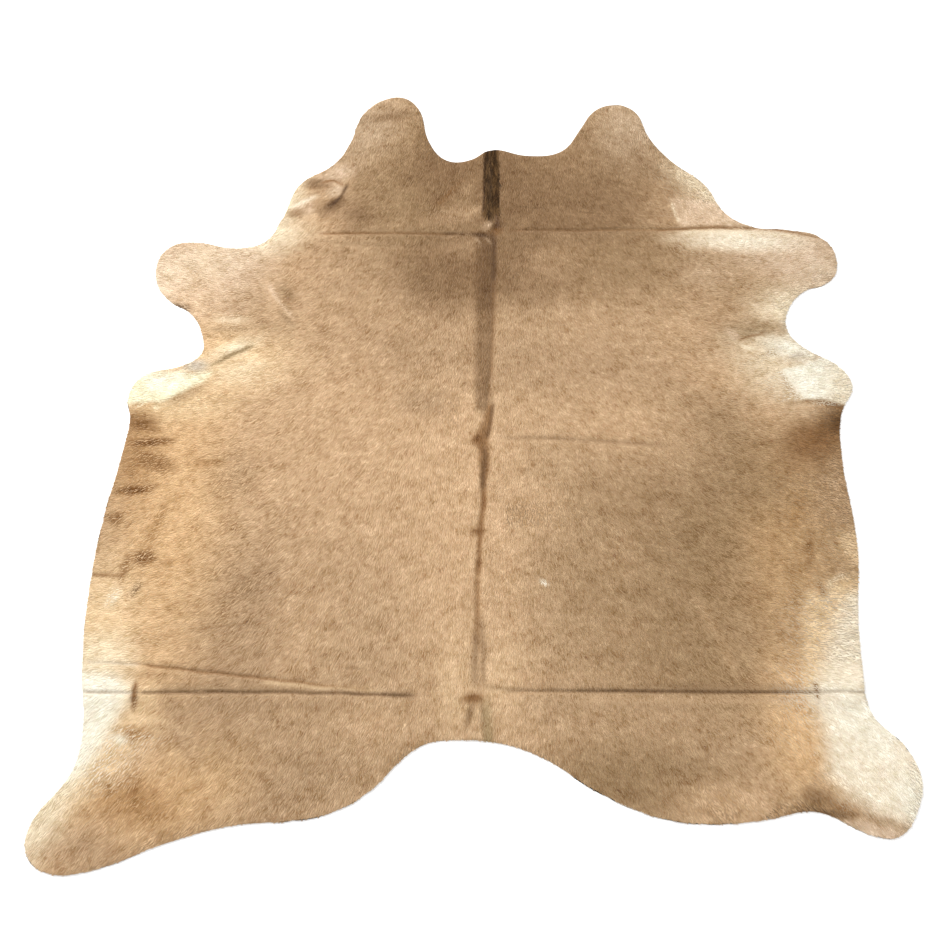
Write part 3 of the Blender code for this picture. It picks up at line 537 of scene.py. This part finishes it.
MARK_FADE = 5.0                # a line fades in over this many half-widths at each of its ends
MARK_PATCHY = 0.45             # how unevenly a line shows along its length
BORDER_WAVES = ((0.030, 0.009), (0.009, 0.004))   # sizes and depths of the waves in the clouds' borders
LINE_WAVES = ((0.060, 0.0030), (0.014, 0.0012))   # and in the folds, the areas, the smudges and the lines

# The materials. A tone is what the fine grain multiplies the colour by, from its darkest to its lightest
# spots, and a bump is its strength and its depth.
HAIR = {
    "stretch": (9.0, 1.2, 1.0), "tone": (0.80, 1.20), "roughness": (0.72, 0.5), "shine": 0.10,
    "bump": (0.35, 0.0004),
}
UNDERCOAT = {"scale": 700.0, "tone": (0.74, 1.06), "roughness": 0.85, "bump": (0.5, 0.0008)}
SUEDE = {
    "scale": 420.0, "cloud_scale": 9.0, "cloud_tone": (0.8, 1.2), "roughness": 0.95, "bump": (0.4, 0.0006),
}
FLESH_COLOUR = (205, 188, 165)
FLESH_TONE = (0.86, 1.10)
EDGE_COLOUR = (190, 165, 135)
EDGE_TONE = (0.8, 1.1)

# Camera, floor and lights.
LOOK_AT = (-0.0177, -0.1467, 0.0)
CAMERA_DISTANCE = 2.5121
CAMERA_ELEVATION = 67
LENS_MM = 37.35
SENSOR_MM = 36.0
FLOOR_SIDE = 40.0
FLOOR_LIGHTNESS = 0.93
FLOOR_ROUGHNESS = 0.9
FLOOR_GAP = 0.0005             # keeps it clear of the hair that hangs over the leather's rim
KEY = {"place": (-2.6, 2.3, 2.7), "side": 2.2, "power": 228}
FILL = {"place": (0.5, -0.5, 4.0), "side": 4.0, "power": 95.5}
WORLD_STRENGTH = 0.53
COAT_GAIN = (0.796, 0.802, 0.780)   # from a colour in COLOURS to the hair's own colour in these lights


def fall(share):
    """A soft slope from 1 down to 0 as share goes from 0 to 1."""
    share = np.clip(share, 0, 1)
    return (1 - share) ** 2 * (1 + 2 * share)


def between(limits, share):
    """The value at a share of the way between two limits."""
    low, high = limits
    return low + (high - low) * share


def rows_of(columns, table):
    """A table's rows as dicts."""
    return [dict(zip(columns, values)) for values in table]


def smooth_line(marks):
    """Close points along a smooth curve through the marks."""
    marks = np.array(marks, float)
    slopes = np.gradient(marks, axis=0)
    share = np.linspace(0, 1, LINE_STEPS, endpoint=False)[:, None]
    points = []
    for start, end, leave, arrive in zip(marks, marks[1:], slopes, slopes[1:]):
        points.append(
            start * (1 + 2 * share) * (1 - share) ** 2 + leave * share * (1 - share) ** 2
            + end * share ** 2 * (3 - 2 * share) - arrive * share ** 2 * (1 - share)
        )
    return np.concatenate(points + [marks[-1:]])


def place_on(line, spots):
    """Each spot's distance from a line, and how far its nearest place is from the line's nearer end."""
    runs = np.diff(line, axis=0)
    lengths = np.hypot(*runs.T)
    walked = np.concatenate(([0.0], np.cumsum(lengths)))
    nearest = np.full(len(spots), np.inf)
    place = np.zeros(len(spots))
    for start, run, length, gone in zip(line, runs, lengths, walked):
        share = np.clip((spots - start) @ run / length ** 2, 0, 1)
        gap = np.hypot(*(spots - start - share[:, None] * run).T)
        closer = gap < nearest
        nearest[closer] = gap[closer]
        place[closer] = gone + share[closer] * length
    return nearest, np.minimum(place, walked[-1] - place)


def near(line, spots, reach):
    """The indices of the spots within reach of a line's box."""
    low = line.min(axis=0) - reach
    high = line.max(axis=0) + reach
    return np.nonzero(np.all((spots > low) & (spots < high), axis=1))[0]


def across_trough(widths):
    """Height share of a trough: none in its bottom, all on its shoulder one half-width out."""
    return np.where(widths < 1, widths * (2 - widths), fall((widths - 1) / (REACH["trough"] - 1)))


def across_ridge(widths):
    """Height share of a ridge with a tight crest."""
    return fall(widths / REACH["ridge"]) ** 2


ACROSS = {"trough": across_trough, "ridge": across_ridge}


def noise_at(spots, size, layer):
    """Soft noise from about -1 to 1 at each spot, with bumps of the given size. Layers differ."""
    shift = layer * NOISE_LAYER
    return np.array([noise.noise((x, y, shift)) for x, y in (spots / size).tolist()])


def waved(spots, waves, layer):
    """The spots knocked about by soft noise, so that what is drawn there gets wavy borders."""
    moved = spots.copy()
    for size, depth in waves:
        moved[:, 0] += depth * noise_at(spots, size, layer)
        moved[:, 1] += depth * noise_at(spots, size, layer + 1)
        layer += 2
    return moved


def fold_lift(spots):
    """How far the folds raise the leather off the floor at each spot."""
    lift = np.zeros(len(spots))
    uneven = 1 + UNEVEN[1] * noise_at(spots, UNEVEN[0], LAYERS["fold heights"])
    spots = waved(spots, LINE_WAVES[:1], LAYERS["lines"])
    for fold in rows_of(FOLD_COLUMNS, FOLDS):
        line = smooth_line(fold["line"])
        close = near(line, spots, REACH[fold["form"]] * fold["half_width"])
        gap, from_end = place_on(line, spots[close])
        shape = ACROSS[fold["form"]](gap / fold["half_width"]) * (1 - fall(from_end / FADE))
        lift[close] = np.maximum(lift[close], fold["height"] * shape * uneven[close])
    return lift


def floor_gap(spots):
    """The height of the flesh side over the floor: the folds and the gentle cockles."""
    cockle = np.clip(noise_at(spots, COCKLE_LENGTH, LAYERS["cockles"]), 0, 1)
    return fold_lift(spots) + COCKLE * cockle


def screen_to_light(colours):
    """8-bit screen values as the linear colours that shaders use."""
    shares = np.asarray(colours, float) / 255
    return np.where(shares <= 0.04045, shares / 12.92, ((shares + 0.055) / 1.055) ** 2.4)


def cloud_mask(cloud, spots):
    """How much of a cloud's colour each spot has."""
    turn = math.radians(cloud["turn"])
    away = spots - (cloud["across"], cloud["along"])
    along = away @ (math.cos(turn), math.sin(turn)) / cloud["half_length"]
    across = away @ (-math.sin(turn), math.cos(turn)) / cloud["half_width"]
    edge = 1 - cloud["softness"]
    return cloud["strength"] * fall((np.hypot(along, across) - edge) / (2 * cloud["softness"]))


def is_inside(corners, spots):
    """Whether each spot lies inside a polygon."""
    inside = np.zeros(len(spots), bool)
    for (x, y), (next_x, next_y) in zip(corners, np.roll(corners, -1, axis=0)):
        spans = (y > spots[:, 1]) != (next_y > spots[:, 1])
        rise = (next_y - y) or SAME_SPOT
        inside ^= spans & (spots[:, 0] < x + (next_x - x) * (spots[:, 1] - y) / rise)
    return inside


def area_mask(area, spots):
    """How much of an area's colour each spot has."""
    corners = np.array(area["corners"])
    mask = np.zeros(len(spots))
    close = near(corners, spots, area["softness"])
    gap, _ = place_on(np.concatenate((corners, corners[:1])), spots[close])
    inwards = np.where(is_inside(corners, spots[close]), gap, -gap)
    mask[close] = area["strength"] * fall((1 - inwards / area["softness"]) / 2)
    return mask


def mark_mask(mark, spots):
    """How much of a line's colour each spot has."""
    line = smooth_line(mark["line"])
    reach = 2 * mark["half_width"]
    mask = np.zeros(len(spots))
    close = near(line, spots, reach)
    gap, from_end = place_on(line, spots[close])
    shown = mark["strength"] * (1 - fall(from_end / (MARK_FADE * mark["half_width"])))
    mask[close] = shown * fall(gap / reach)
    return mask


def coat_pattern(spots, borders, lines, patchy):
    """The coat's screen colour at each spot, before its locks vary. The clouds are drawn on the spots in
    borders, and the smaller patches on those in lines."""
    colours = np.tile(np.array(COLOURS["tan"], float), (len(spots), 1))
    masks = [(row["colour"], cloud_mask(row, borders)) for row in rows_of(CLOUD_COLUMNS, CLOUDS)]
    masks += [(row["colour"], area_mask(row, lines)) for row in rows_of(AREA_COLUMNS, AREAS)]
    masks += [(row["colour"], cloud_mask(row, lines)) for row in rows_of(CLOUD_COLUMNS, SMUDGES)]
    masks += [(row["colour"], mark_mask(row, lines) * patchy) for row in rows_of(MARK_COLUMNS, MARKS)]
    for colour, mask in masks:
        colours += mask[:, None] * (COLOURS[colour] - colours)
    return colours


def growth_angles(spots):
    """The way the hair grows at each spot, in radians from straight towards the tail."""
    pull = np.zeros((len(spots), 2))
    for row in rows_of(GROWTH_COLUMNS, GROWTH):
        gap = np.hypot(*(spots - (row["across"], row["along"])).T) + GROWTH_CORE
        angle = math.radians(row["degrees"])
        pull += np.outer(gap ** -GROWTH_BLEND, (math.sin(angle), math.cos(angle)))
    return np.arctan2(pull[:, 0], pull[:, 1])


def pattern_light(spots):
    """The coat's linear colour at each spot, with wavy borders and patchy lines."""
    patchy = np.clip(1 + MARK_PATCHY * noise_at(spots, UNEVEN[0] / 2, LAYERS["patchy lines"]), 0, 1)
    borders = waved(spots, BORDER_WAVES, LAYERS["borders"])
    lines = waved(spots, LINE_WAVES, LAYERS["lines"])
    pattern = coat_pattern(spots, borders, lines, patchy)
    return screen_to_light(pattern) * COAT_GAIN


def add_node(tree, kind, values=None, **settings):
    """A node with its settings, and its inputs set to plain values or linked from outputs."""
    made = tree.nodes.new(kind)
    for name, value in settings.items():
        setattr(made, name, value)
    for name, value in (values or {}).items():
        socket = made.inputs[name]
        if isinstance(value, bpy.types.NodeSocket):
            tree.links.new(value, socket)
        else:
            socket.default_value = value
    return made


def new_group(name, inputs, outputs):
    """An empty shader node group with its sockets, and its two end nodes."""
    group = bpy.data.node_groups.new(name, "ShaderNodeTree")
    for label, kind, value in inputs:
        socket = group.interface.new_socket(label, in_out="INPUT", socket_type=kind)
        if value is not None:
            socket.default_value = value
    for label, kind in outputs:
        group.interface.new_socket(label, in_out="OUTPUT", socket_type=kind)
    return group, group.nodes.new("NodeGroupInput"), group.nodes.new("NodeGroupOutput")


def fine_grain_group():
    """Fine uneven grain: a tone from 0 to 1 round a half, and a height for a bump."""
    group, given, result = new_group(
        "fine_grain",
        [("Vector", "NodeSocketVector", None), ("Scale", "NodeSocketFloat", 500.0),
         ("Stretch", "NodeSocketVector", (1.0, 1.0, 1.0))],
        [("Tone", "NodeSocketFloat"), ("Height", "NodeSocketFloat")],
    )
    placed = add_node(group, "ShaderNodeVectorMath", {
        0: given.outputs["Vector"], 1: given.outputs["Stretch"],
    }, operation="MULTIPLY")
    fine = add_node(group, "ShaderNodeTexNoise", {
        "Vector": placed.outputs["Vector"], "Scale": given.outputs["Scale"], "Detail": 3.0, "Roughness": 0.6,
    })
    group.links.new(fine.outputs["Fac"], result.inputs["Tone"])
    group.links.new(fine.outputs["Fac"], result.inputs["Height"])
    return group


def new_material(name):
    """A node material, its tree and its Principled shader."""
    material = bpy.data.materials.new(name)
    material.use_nodes = True
    tree = material.node_tree
    return material, tree, tree.nodes["Principled BSDF"]


def add_bump(tree, shader, height, strength, distance):
    """Bumps a shader's surface by a height."""
    bump = add_node(tree, "ShaderNodeBump", {"Strength": strength, "Distance": distance, "Height": height})
    tree.links.new(bump.outputs["Normal"], shader.inputs["Normal"])


def place_grain(tree, grain, **values):
    """The fine grain's node in a material's tree, with its values."""
    return add_node(tree, "ShaderNodeGroup", values, node_tree=grain)


def toned(tree, colour, tone, limits):
    """A colour made darker and lighter by a tone: times the first limit at 0, and times the second at 1."""
    gain = add_node(tree, "ShaderNodeMapRange", {"Value": tone, "To Min": limits[0], "To Max": limits[1]})
    return add_node(tree, "ShaderNodeVectorMath", {0: colour, 1: gain.outputs["Result"]},
                    operation="MULTIPLY").outputs["Vector"]


def hair_material(grain):
    """The short glossy hair of the coat, with strands that run along each lock."""
    material, tree, shader = new_material("cow hair")
    colour = add_node(tree, "ShaderNodeAttribute", attribute_name="coat_colour")
    place = add_node(tree, "ShaderNodeUVMap", uv_map="strands")
    strand = place_grain(tree, grain, Vector=place.outputs["UV"], Scale=1.0, Stretch=HAIR["stretch"])
    tree.links.new(toned(tree, colour.outputs["Color"], strand.outputs["Tone"], HAIR["tone"]),
                   shader.inputs["Base Color"])
    dull, smooth = HAIR["roughness"]
    rough = add_node(tree, "ShaderNodeMapRange", {
        "Value": strand.outputs["Tone"], "To Min": dull, "To Max": smooth,
    })
    tree.links.new(rough.outputs["Result"], shader.inputs["Roughness"])
    add_bump(tree, shader, strand.outputs["Height"], *HAIR["bump"])
    shader.inputs["Specular IOR Level"].default_value = HAIR["shine"]
    return material


def undercoat_material(grain):
    """The dense short hair at the skin, seen between the locks."""
    material, tree, shader = new_material("undercoat")
    colour = add_node(tree, "ShaderNodeAttribute", attribute_name="coat_colour")
    place = add_node(tree, "ShaderNodeTexCoord")
    fuzz = place_grain(tree, grain, Vector=place.outputs["Object"], Scale=UNDERCOAT["scale"])
    tree.links.new(toned(tree, colour.outputs["Color"], fuzz.outputs["Tone"], UNDERCOAT["tone"]),
                   shader.inputs["Base Color"])
    add_bump(tree, shader, fuzz.outputs["Height"], *UNDERCOAT["bump"])
    shader.inputs["Roughness"].default_value = UNDERCOAT["roughness"]
    return material


def suede_material(grain, name, colour, tone):
    """Undyed split leather with a short nap."""
    material, tree, shader = new_material(name)
    place = add_node(tree, "ShaderNodeTexCoord")
    nap = place_grain(tree, grain, Vector=place.outputs["Object"], Scale=SUEDE["scale"])
    cloud = place_grain(tree, grain, Vector=place.outputs["Object"], Scale=SUEDE["cloud_scale"])
    base = add_node(tree, "ShaderNodeRGB")
    base.outputs["Color"].default_value = (*screen_to_light(colour), 1.0)
    clouded = toned(tree, base.outputs["Color"], cloud.outputs["Tone"], SUEDE["cloud_tone"])
    tree.links.new(toned(tree, clouded, nap.outputs["Tone"], tone), shader.inputs["Base Color"])
    add_bump(tree, shader, nap.outputs["Height"], *SUEDE["bump"])
    shader.inputs["Roughness"].default_value = SUEDE["roughness"]
    return material


def add_piece(name, mesh):
    """A finished piece that rides on the rug's one body."""
    piece = bpy.data.objects.new(name, mesh)
    bpy.context.scene.collection.objects.link(piece)
    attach(piece, "root")
    return piece


def set_colours(mesh, colours):
    """Stores each vertex's coat colour."""
    layer = mesh.attributes.new("coat_colour", "FLOAT_COLOR", "POINT")
    layer.data.foreach_set("color", np.column_stack((colours, np.ones(len(colours)))).ravel())


def is_wall(face):
    """Whether a face stands upright."""
    return abs(face.normal.z) < STEEP


def round_rim(shape):
    """Smooths the rim's polygon and draws it in to where the leather is cut. Walls stand upright here."""
    walls = [face for face in shape.faces if is_wall(face)]
    rim = {corner for face in walls for corner in face.verts}
    beside = {
        corner: [edge.other_vert(corner) for edge in corner.link_edges
                 if any(is_wall(face) for face in edge.link_faces)
                 and abs(edge.other_vert(corner).co.z - corner.co.z) < SAME_SPOT]
        for corner in rim
    }
    for _ in range(RIM_SMOOTHING):
        middles = {corner: sum((other.co for other in others), Vector()) / len(others)
                   for corner, others in beside.items()}
        for corner, middle in middles.items():
            corner.co = corner.co.lerp(middle, RIM_PULL)
    shape.normal_update()
    for corner in rim:
        outward = sum((face.normal for face in corner.link_faces if is_wall(face)), Vector())
        outward.z = 0
        corner.co -= outward.normalized() * RIM_HAIR


def leather_mesh(materials):
    """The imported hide's own mesh, refined, rounded at the rim and pressed to the leather's thickness."""
    shape = bmesh.new()
    shape.from_mesh(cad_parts["hide"].data)
    bmesh.ops.remove_doubles(shape, verts=shape.verts, dist=SAME_SPOT)
    coat_side = {corner for face in shape.faces if face.normal.z > STEEP for corner in face.verts}
    for corner in shape.verts:
        corner.co.z = 1.0 if corner in coat_side else 0.0
    bmesh.ops.subdivide_edges(shape, edges=shape.edges, cuts=REFINE, use_grid_fill=True)
    shape.normal_update()
    round_rim(shape)
    spots = np.array([corner.co.xy for corner in shape.verts])
    for corner, gap in zip(shape.verts, floor_gap(spots).tolist()):
        corner.co.z = gap + corner.co.z * LEATHER
    shape.normal_update()
    for face in shape.faces:
        face.smooth = True
        face.material_index = 2 if is_wall(face) else 0 if face.normal.z > 0 else 1
    mesh = bpy.data.meshes.new("leather")
    shape.to_mesh(mesh)
    shape.free()
    mesh.set_sharp_from_angle(angle=math.radians(SHARP_ANGLE))
    for material in materials:
        mesh.materials.append(material)
    set_colours(mesh, pattern_light(spots))
    return mesh


def even_field(low, high, gap, dice):
    """Spots over a box in staggered rows, each knocked a little out of line."""
    row_gap = gap * math.sqrt(3) / 2
    columns, rows = np.meshgrid(np.arange(low[0], high[0], gap), np.arange(low[1], high[1], row_gap))
    columns[1::2] += gap / 2
    spots = np.column_stack((columns.ravel(), rows.ravel()))
    return spots + dice.uniform(-LOCK_JITTER, LOCK_JITTER, spots.shape) * gap


DOWN = Vector((0, 0, -1))


def on_leather(tree, spots):
    """Where each spot lies on the leather: whether it does, its point and the surface's normal."""
    points, normals, found = [], [], []
    for x, y in spots.tolist():
        point, normal, *_ = tree.ray_cast((x, y, RAY_HEIGHT), DOWN)
        found.append(point is not None and normal.z > LEVEL)
        if found[-1]:
            points.append(point)
            normals.append(normal)
    return np.array(found), np.array(points), np.array(normals)


def room_ahead(tree, spots, headings, longest):
    """How far each lock can run before it leaves the leather, up to its full length."""
    room = longest.copy()
    ends = spots + headings * longest[:, None]
    inside, *_ = on_leather(tree, ends)
    for index in np.nonzero(~inside)[0]:
        reach = 0.0
        while reach < longest[index]:
            x, y = spots[index] + headings[index] * (reach + ROOM_STEP)
            if tree.ray_cast((x, y, RAY_HEIGHT), DOWN)[0] is None:
                break
            reach += ROOM_STEP
        room[index] = reach
    return room


def unit(vectors):
    """The vectors, each made one long."""
    return vectors / np.linalg.norm(vectors, axis=1, keepdims=True)


# A lock is a closed spike: left, right and crown of its root, then its tip.
LOCK_FACES = np.array(((0, 2, 3), (1, 3, 2), (0, 3, 1), (0, 1, 2)))
LOCK_CORNERS = 4
LOCK_SHADE_AND_BLEACH = (0.86, 0.86, 0.94, 1.10)   # its lightness at each corner: painted shade at the root, down among the layers of hair, and a tip lighter as sun-bleached hair
STRANDS_ACROSS = (0.0, 1.0, 0.5, 0.5)   # and each corner's place in the strands' pattern
STRANDS_ALONG = (0.0, 0.0, 0.1, 1.0)


def lock_mesh(name, locks, ends, material):
    """Many locks joined into one mesh, with two maps and the colours of their two ends."""
    count = len(locks["root"])
    side = unit(np.cross(locks["tip"] - locks["root"], locks["up"])) * locks["half_width"][:, None]
    corners = np.stack([
        locks["root"] - side,
        locks["root"] + side,
        locks["root"] + locks["up"] * locks["ridge"][:, None],
        locks["tip"],
    ], axis=1)
    corners[:, :2] -= locks["up"][:, None] * ROOT_DEPTH
    faces = (np.arange(count)[:, None, None] * LOCK_CORNERS + LOCK_FACES).reshape(-1, 3)
    mesh = bpy.data.meshes.new(name)
    mesh.vertices.add(count * LOCK_CORNERS)
    mesh.vertices.foreach_set("co", corners.astype(np.float32).ravel())
    mesh.loops.add(faces.size)
    mesh.loops.foreach_set("vertex_index", faces.astype(np.int32).ravel())
    mesh.polygons.add(len(faces))
    mesh.polygons.foreach_set("loop_start", np.arange(0, faces.size, 3, dtype=np.int32))
    mesh.update(calc_edges=True)
    mesh.materials.append(material)
    root, tip = ends
    # Painted shade at the roots of the locks, and lighter sun-bleached tips.
    colours = np.stack((root, root, root, tip), axis=1) * np.array(LOCK_SHADE_AND_BLEACH)[:, None]
    set_colours(mesh, colours.reshape(-1, 3))
    map_locks(mesh, corners, faces, locks["number"])
    mesh.shade_flat()
    return mesh


def map_locks(mesh, corners, faces, numbers):
    """Two maps: the strip seen from above, its two halves side by side, and the strands along each lock."""
    flat = corners[..., :2] - corners[..., :2].min(axis=(0, 1))
    middle = MAP_SIZE - 2 * MAP_MARGIN
    upper = flat[:, 0, 1] > middle
    flat[upper] += (MAP_SIZE / 2, MAP_MARGIN - middle)
    above = mesh.uv_layers.new(name="OFBake", do_init=False)
    above.data.foreach_set("uv", (flat.reshape(-1, 2)[faces] / MAP_SIZE).astype(np.float32).ravel())
    across = np.array(STRANDS_ACROSS) + numbers[:, None] * STRAND_STEP[0]
    along = np.array(STRANDS_ALONG) + numbers[:, None] * STRAND_STEP[1]
    own = np.stack((across, along), axis=-1).reshape(-1, 2)
    strands = mesh.uv_layers.new(name="strands", do_init=False)
    strands.data.foreach_set("uv", own[faces].astype(np.float32).ravel())


def lifted(tree, roots, tips):
    """The tips of the locks, raised where they would dip into the leather or under its rim."""
    inside, points, _ = on_leather(tree, tips[:, :2])
    lowest = roots[:, 2].copy()
    lowest[inside] = points[:, 2]
    return np.column_stack((tips[:, :2], np.maximum(tips[:, 2], lowest + TIP_LIFT)))


def grow_locks(tree, spots, dice, length=LOCK_LENGTH, half_width=LOCK_HALF_WIDTH, ridge=LOCK_RIDGE,
               lean=LOCK_LEAN, turn=LOCK_TURN):
    """Locks rooted at the spots that lie on the leather, leaning the way the hair grows."""
    found, roots, normals = on_leather(tree, spots)
    spots = spots[found]
    count = len(spots)
    angles = growth_angles(spots) + np.radians(turn) * (
        LOCK_STRAY * dice.normal(size=count) + CLUMP_STRAY * noise_at(spots, CLUMP, LAYERS["clumps"])
    )
    ahead = np.column_stack((np.sin(angles), -np.cos(angles)))
    longest = between(length, dice.random(count)) * (1 - (1 - PRESSED) * beside_marks(spots))
    room = room_ahead(tree, spots, ahead, longest) + RIM_HAIR * dice.uniform(*OVERHANG, count)
    reach = np.minimum(longest, np.maximum(room, length[0] / 2))[:, None]
    level = np.column_stack((ahead, np.zeros(count)))
    level = unit(level - normals * np.sum(level * normals, axis=1, keepdims=True))
    rise = np.radians(between(lean, dice.random(count)))[:, None]
    tips = lifted(tree, roots, roots + (level * np.cos(rise) + normals * np.sin(rise)) * reach)
    return {
        "root": roots,
        "tip": tips,
        "up": normals,
        "half_width": between(half_width, dice.random(count)),
        "ridge": np.full(count, ridge),
        "number": np.arange(count) % STRAND_PLACES,
    }


def varied(ends, spots, dice):
    """The linear colours of the locks' ends, made to differ from lock to lock, less so in pale hair."""
    tone = dice.normal(size=len(spots)) * GRAIN_OWN
    crosswise = spots / (GRAIN_CROSSWISE, 1.0)
    for layer, (size, depth) in enumerate(GRAIN):
        tone += depth * noise_at(crosswise, size, LAYERS["flecks"] + layer)
    tone *= np.clip(GRAIN_CALM - np.mean(ends, axis=(0, 2)), *CALM_LIMITS)
    drift = HUE_DRIFT[1] * noise_at(spots, HUE_DRIFT[0], LAYERS["hue"])
    gains = 1 + tone[:, None] * GRAIN_TINT + np.outer(drift, (-1, 1, -1))
    return ends * np.clip(gains, *GAIN_LIMITS)


def beside_marks(spots):
    """1 on the coat's lines and creases, down to 0 away from them."""
    share = np.zeros(len(spots))
    for mark in rows_of(MARK_COLUMNS, MARKS):
        line = smooth_line(mark["line"])
        close = near(line, spots, PRESSED_REACH)
        share[close] = np.maximum(share[close], fall(place_on(line, spots[close])[0] / PRESSED_REACH))
    return share


def seen_at(locks):
    """Where the middle of each lock lies, seen from above."""
    return (locks["root"] + locks["tip"])[:, :2] / 2


def chosen(locks, picked):
    """The picked ones of many locks."""
    return {key: values[picked] for key, values in locks.items()}


def build_coat(tree, hair):
    """The coat in strips from the left flank to the right one, each with as many locks as the next."""
    dice = np.random.default_rng(SEED)
    low, high = CAD_BOX[0][:2], CAD_BOX[1][:2]
    locks = grow_locks(tree, even_field(low, high, LOCK_GAP, dice), dice)
    ends = np.array([pattern_light(locks[end][:, :2]) for end in ("root", "tip")])
    ends = varied(ends, seen_at(locks), dice)
    order = np.argsort(locks["root"][:, 0])
    pieces = []
    for name, picked in zip(STRIPS, np.array_split(order, len(STRIPS))):
        mesh = lock_mesh(name, chosen(locks, picked), ends[:, picked], hair)
        pieces.append(add_piece(name, mesh))
    return pieces


def build_tuft(tree, hair):
    """The long dark hair that lies along the crest, with redder streaks and a ragged end."""
    dice = np.random.default_rng(SEED + 1)
    low, high = TUFT_SPAN
    spots = even_field(low, high, TUFT_GAP, dice)
    end = low[1] + TUFT_RAGGED[1] * (1 + noise_at(spots * (1, 0), TUFT_RAGGED[0], LAYERS["tuft end"]))
    side = low[0] + TUFT_SOFT * dice.random(len(spots))
    spots = spots[(spots[:, 1] > end) & (spots[:, 0] > side)]
    locks = grow_locks(tree, spots, dice, TUFT_LENGTH, TUFT_HALF_WIDTH, TUFT_RIDGE, TUFT_LEAN)
    spots = locks["root"][:, :2]
    streaks = noise_at(spots * (1, TUFT_STREAK), TUFT_STREAK_WIDTH, LAYERS["tuft streaks"])
    own = dice.normal(size=len(spots)) * TUFT_OWN
    shares = np.clip(TUFT_REDNESS + (streaks * TUFT_STREAK_DEPTH + own), 0, 1)[:, None]
    dark, red = (screen_to_light(colour) * COAT_GAIN for colour in TUFT_COLOURS)
    mesh = lock_mesh("crest_tuft", locks, [dark + (red - dark) * shares] * 2, hair)
    return add_piece("crest_tuft", mesh)


def build_leather():
    """The one sheet that carries the coat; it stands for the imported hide."""
    grain = fine_grain_group()
    mesh = leather_mesh((
        undercoat_material(grain),
        suede_material(grain, "flesh side", FLESH_COLOUR, FLESH_TONE),
        suede_material(grain, "cut edge", EDGE_COLOUR, EDGE_TONE),
    ))
    leather = add_piece("leather", mesh)
    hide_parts("hide")
    tree = BVHTree.FromPolygons(
        [corner.co for corner in mesh.vertices], [tuple(face.vertices) for face in mesh.polygons],
    )
    return leather, tree, hair_material(grain)


def build_floor():
    """A wide plain pale floor."""
    shape = bmesh.new()
    bmesh.ops.create_grid(shape, x_segments=1, y_segments=1, size=FLOOR_SIDE / 2)
    for corner in shape.verts:
        corner.co.z = -FLOOR_GAP
    mesh = bpy.data.meshes.new("floor")
    shape.to_mesh(mesh)
    shape.free()
    material, _, shader = new_material("pale floor")
    shader.inputs["Base Color"].default_value = (*[FLOOR_LIGHTNESS] * 3, 1.0)
    shader.inputs["Roughness"].default_value = FLOOR_ROUGHNESS
    mesh.materials.append(material)
    floor = bpy.data.objects.new("floor", mesh)
    bpy.context.scene.collection.objects.link(floor)


def add_lamp(name, place, side, power):
    """A soft square lamp that faces the rug's middle."""
    lamp = bpy.data.lights.new(name, "AREA")
    lamp.shape = "SQUARE"
    lamp.size = side
    lamp.energy = power
    holder = bpy.data.objects.new(name, lamp)
    holder.location = place
    holder.rotation_euler = (-Vector(place)).to_track_quat("-Z", "Y").to_euler()
    bpy.context.scene.collection.objects.link(holder)


def build_lights():
    """A soft key from beyond the left of the neck, a wide fill from above and an even white world."""
    add_lamp("key", **KEY)
    add_lamp("fill", **FILL)
    world = bpy.data.worlds.new("studio")
    world.use_nodes = True
    world.node_tree.nodes["Background"].inputs["Color"].default_value = (1.0, 1.0, 1.0, 1.0)
    world.node_tree.nodes["Background"].inputs["Strength"].default_value = WORLD_STRENGTH
    bpy.context.scene.world = world
    bpy.context.scene.view_settings.view_transform = "Standard"


def build_camera():
    """A camera that looks down over the tail towards the neck."""
    tilt = math.radians(90 - CAMERA_ELEVATION)
    data = bpy.data.cameras.new("camera")
    data.lens = LENS_MM
    data.sensor_width = SENSOR_MM
    camera = bpy.data.objects.new("camera", data)
    away = Vector((0, -math.sin(tilt), math.cos(tilt))) * CAMERA_DISTANCE
    camera.location = Vector(LOOK_AT) + away
    camera.rotation_euler = (tilt, 0, 0)
    bpy.context.scene.collection.objects.link(camera)
    bpy.context.scene.camera = camera


leather, tree, hair = build_leather()
coat = build_coat(tree, hair)
tuft = build_tuft(tree, hair)
build_floor()
build_lights()
build_camera()
